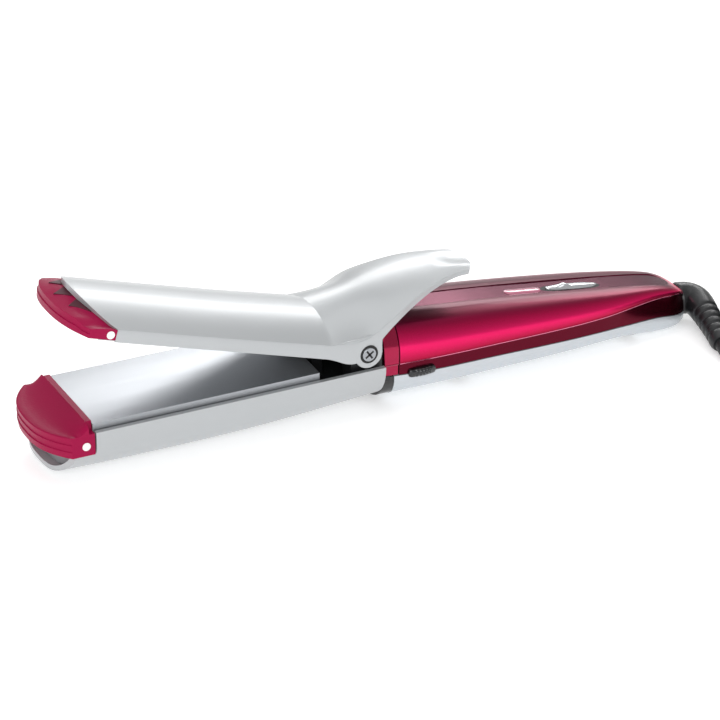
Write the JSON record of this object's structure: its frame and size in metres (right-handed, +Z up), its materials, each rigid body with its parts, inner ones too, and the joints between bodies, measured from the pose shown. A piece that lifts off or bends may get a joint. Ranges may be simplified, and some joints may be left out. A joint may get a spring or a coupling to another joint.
{
  "type": "hair crimper",
  "caption": "Open two-arm hair tongs with long flat heated plates, raspberry end caps and handle, silver shells, thumb lever, side lock and a swivelling mains lead.",
  "frame": {"origin": "under the middle of the tongs, cord left out, on the surface they rest on", "axes": "+X along the tongs towards the handle and cord, +Y across the plates, +Z up"},
  "size_m": [0.3792, 0.0966, 0.07],
  "materials": {
    "silver_shell": "satin silver-white paint",
    "silver_handle": "satin bluish silver paint",
    "candy_shell": "candy-metallic raspberry under clear gloss",
    "candy_collar": "gloss dark raspberry",
    "raspberry_tip": "moulded heat-proof plastic",
    "white_pin": "plain white",
    "trim_strip": "translucent pink-grey",
    "lens_pink": "clear pink",
    "knob_chrome": "bright",
    "plate_metal": "brushed and coated",
    "heater_ceramic": "ceramic sleeve",
    "spring_steel": "bare",
    "screw_steel": "nickel",
    "bush_brass": "sintered",
    "black_plastic": "moulded",
    "black_gloss": "gloss",
    "board_green": "glass-fibre board",
    "led_resin": "clear resin",
    "wire_white": "silicone",
    "wire_brown": "silicone",
    "cord_rubber": "matte",
    "plug_rubber": "matte moulded",
    "pin_nickel": "nickel plated",
    "tie_black": "hook-and-loop strap"
  },
  "bodies": {
    "handle": {"lower_arm_shell": "silver_shell", "lower_plate": "plate_metal", "lower_heater": "heater_ceramic", "lower_heater_clip": "spring_steel", "thermal_fuse": "heater_ceramic", "lower_plate_tray": "black_plastic", "lower_tip": "raspberry_tip", "lower_tip_rivets": "white_pin", "hinge_block": "black_plastic", "hinge_pin": "spring_steel", "pivot_screws": "screw_steel", "torsion_spring": "spring_steel", "handle_upper_shell": "candy_shell", "handle_lower_shell": "silver_handle", "front_collar": "candy_collar", "handle_screws": "screw_steel", "top_trim_strip": "trim_strip", "indicator_lens": "lens_pink", "circuit_board": "board_green", "board_screws": "screw_steel", "switch_block": "black_plastic", "indicator_led": "led_resin", "heater_leads": "wire_white", "mains_leads": "wire_brown", "swivel_socket": "black_plastic"},
    "upper_arm": {"upper_arm_shell": "silver_shell", "upper_plate": "plate_metal", "upper_heater": "heater_ceramic", "upper_heater_clip": "spring_steel", "upper_plate_frame": "black_plastic", "upper_tip": "raspberry_tip", "upper_tip_rivets": "white_pin", "hinge_bushes": "bush_brass"},
    "power_switch": {"switch_knob": "knob_chrome"},
    "jaw_lock": {"lock_slider": "black_gloss"},
    "cord_swivel": {"swivel_barrel": "black_plastic", "strain_relief": "cord_rubber", "mains_lead": "cord_rubber", "cord_coil": "cord_rubber", "cord_tie": "tie_black", "plug_lead": "cord_rubber", "plug_body": "plug_rubber", "plug_pins": "pin_nickel"}
  },
  "joints": [
    {"name": "jaw_hinge", "type": "hinge", "parent": "handle", "child": "upper_arm", "pos_m": [-0.0119, 0, 0.028], "axis": [0, 1, 0], "range_deg": [-16.94, 0], "stiffness_Nm_per_rad": 0.6, "springref_deg": 28.65, "deforming": ["torsion_spring"]},
    {"name": "switch_slide", "type": "slide", "parent": "handle", "child": "power_switch", "axis": [-0.992, 0, 0.1262], "range_m": [0, 0.002]},
    {"name": "lock_slide", "type": "slide", "parent": "handle", "child": "jaw_lock", "axis": [-1, 0, 0], "range_m": [0, 0.0035]},
    {"name": "lead_swivel", "type": "hinge", "parent": "handle", "child": "cord_swivel", "pos_m": [0.1281, 0, 0.00895], "axis": [1, 0, 0], "continuous": true}
  ]
}
